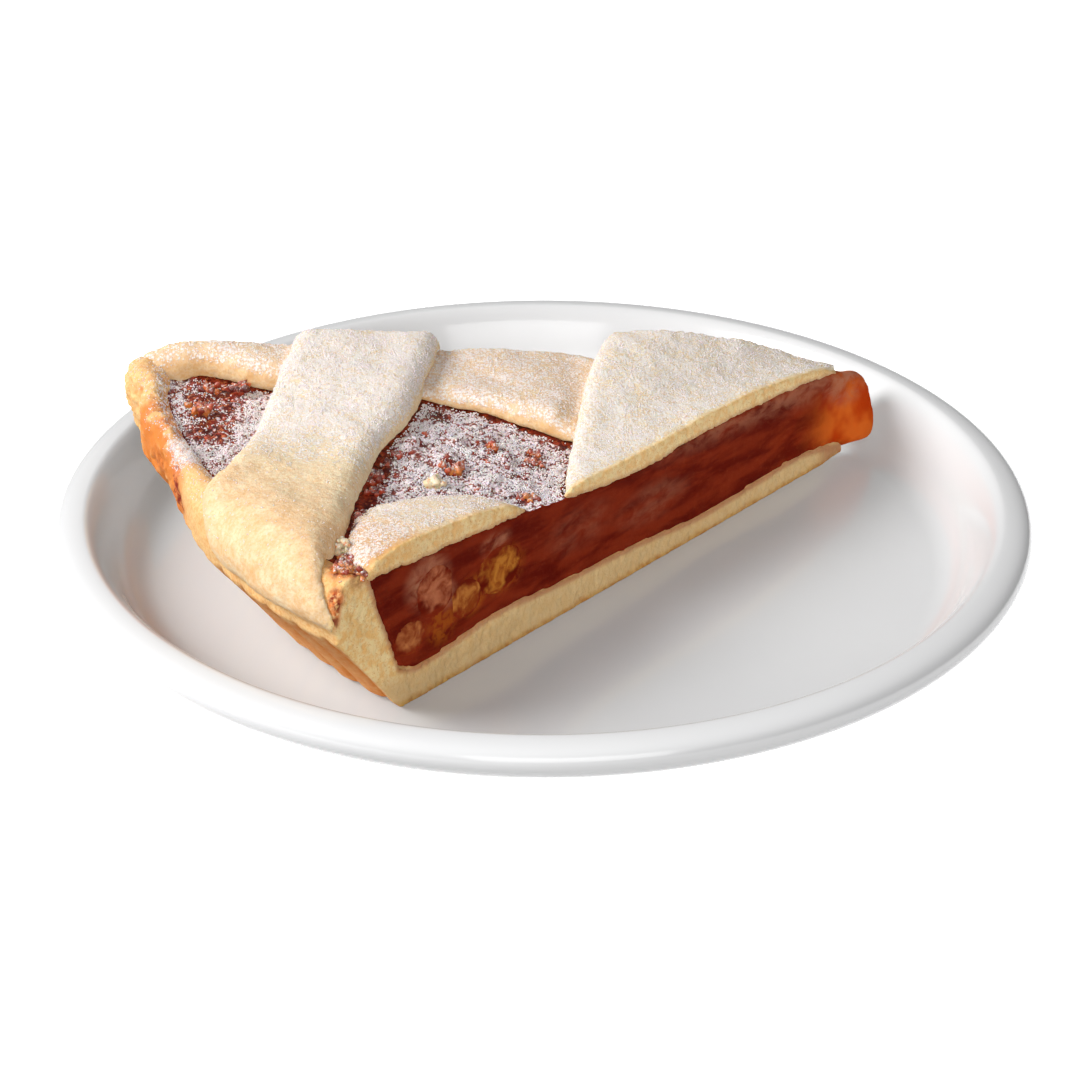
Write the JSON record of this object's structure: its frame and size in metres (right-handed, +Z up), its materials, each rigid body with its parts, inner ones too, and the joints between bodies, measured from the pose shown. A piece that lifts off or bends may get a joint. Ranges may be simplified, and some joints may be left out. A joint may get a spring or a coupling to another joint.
{
  "type": "slice of fruit lattice pie on a plate",
  "caption": "Wedge of apple raspberry lattice pie with a thick jellied fruit filling and powdered sugar, served on a round coupe dessert plate.",
  "frame": {"origin": "centre of the plate's foot ring, on the table", "axes": "+Z up; -Y towards the viewer of the near cut face; the slice's rim lies towards -X and -Y, its tip towards +X and +Y"},
  "size_m": [0.19, 0.19, 0.0412],
  "materials": {
    "porcelain": "white, glossy",
    "crust": "baked shortcrust, golden brown and porous",
    "lattice": "pale baked shortcrust under powdered sugar",
    "filling": "jellied raspberry and apple filling, moist and slightly clear",
    "apple": "cooked apple, moist"
  },
  "bodies": {
    "root": {"plate": "porcelain", "crust": "crust", "filling": "filling", "lattice_strip_rim": "lattice", "lattice_strip_back": "lattice", "lattice_strip_tip": "lattice", "lattice_strip_end": "lattice", "apple_piece_1": "apple", "apple_piece_2": "apple", "apple_piece_3": "apple", "apple_piece_4": "apple"}
  },
  "joints": []
}
